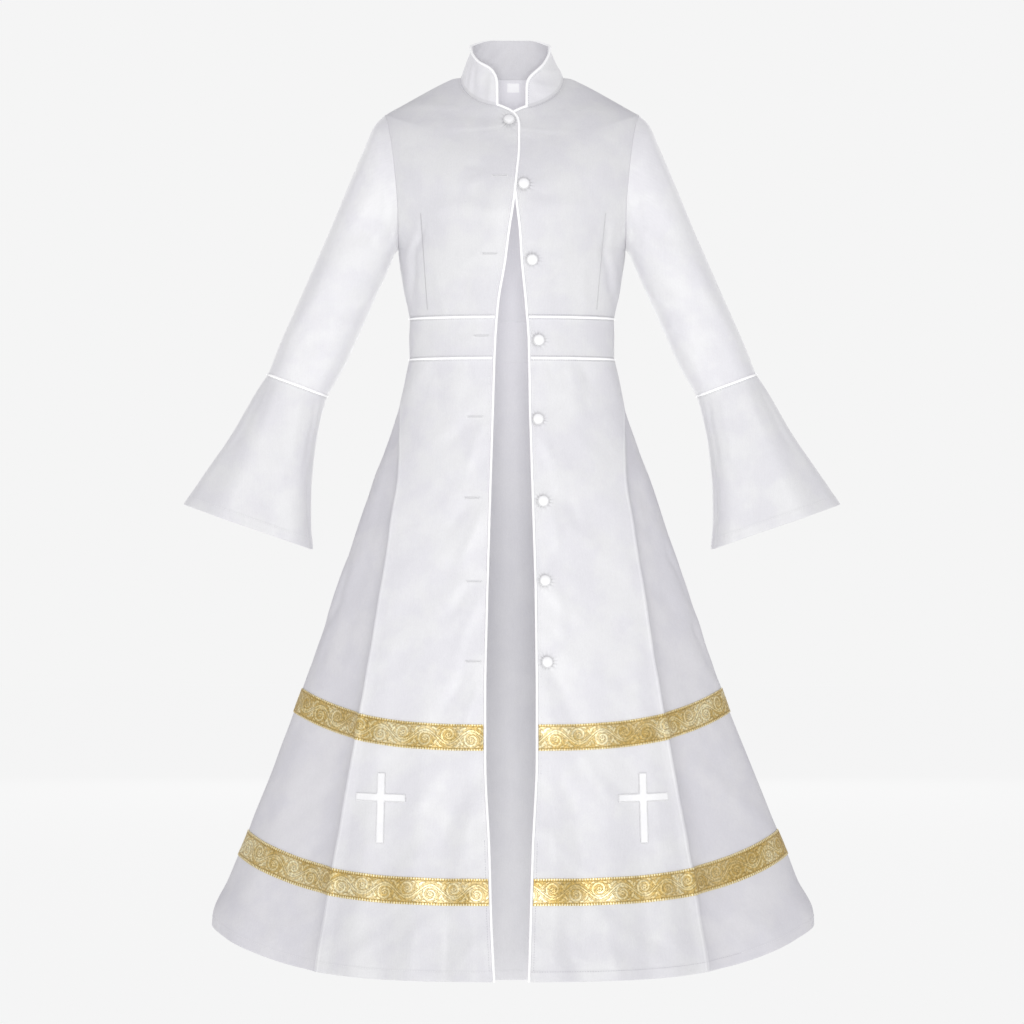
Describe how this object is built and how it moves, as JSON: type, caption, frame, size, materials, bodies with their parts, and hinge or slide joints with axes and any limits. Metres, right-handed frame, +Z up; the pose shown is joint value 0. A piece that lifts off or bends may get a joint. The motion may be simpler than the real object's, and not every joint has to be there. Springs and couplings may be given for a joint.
{
  "type": "cassock",
  "caption": "Long white satin cassock, filled out as worn: stand collar, bell cuffs, open buttoned front, piped seams, gold scroll ribbons and a cross on each skirt front.",
  "frame": {"origin": "middle of the neck base, level with the two side neck points of the bodice, where the wearer's shoulders and neck hold the garment up", "axes": "+Z up along the garment from hem to collar, +Y to the wearer's back, +X to the wearer's left; the front faces -Y"},
  "size_m": [0.995, 0.4308, 1.4531],
  "materials": {
    "satin": "white polyester satin with a soft sheen and a fine weave",
    "piping": "bright white satin piping over a round cord",
    "gold_ribbon": "woven gold brocade ribbon with a plain traditional scroll and edge lines",
    "cross_applique": "flat white satin applique with a close stitched edge",
    "button_cover": "white satin covered button, domed",
    "woven_label": "small bare woven label"
  },
  "bodies": {
    "root": {"collar": "satin", "bodice_front_right": "satin", "bodice_front_left": "satin", "bodice_back": "satin", "waistband_front_right": "satin", "waistband_front_left": "satin", "waistband_back": "satin", "skirt_front_right": "satin", "skirt_front_left": "satin", "skirt_back": "satin", "sleeve_right": "satin", "sleeve_left": "satin", "cuff_right": "satin", "cuff_left": "satin", "piping_collar": "piping", "piping_front_right": "piping", "piping_front_left": "piping", "piping_waist_top": "piping", "piping_waist_bottom": "piping", "piping_cuff_right": "piping", "piping_cuff_left": "piping", "band_upper": "gold_ribbon", "band_lower": "gold_ribbon", "cross_right": "cross_applique", "cross_left": "cross_applique", "button_1": "button_cover", "button_2": "button_cover", "button_3": "button_cover", "button_4": "button_cover", "button_5": "button_cover", "button_6": "button_cover", "button_7": "button_cover", "button_8": "button_cover", "neck_label": "woven_label"}
  },
  "joints": []
}
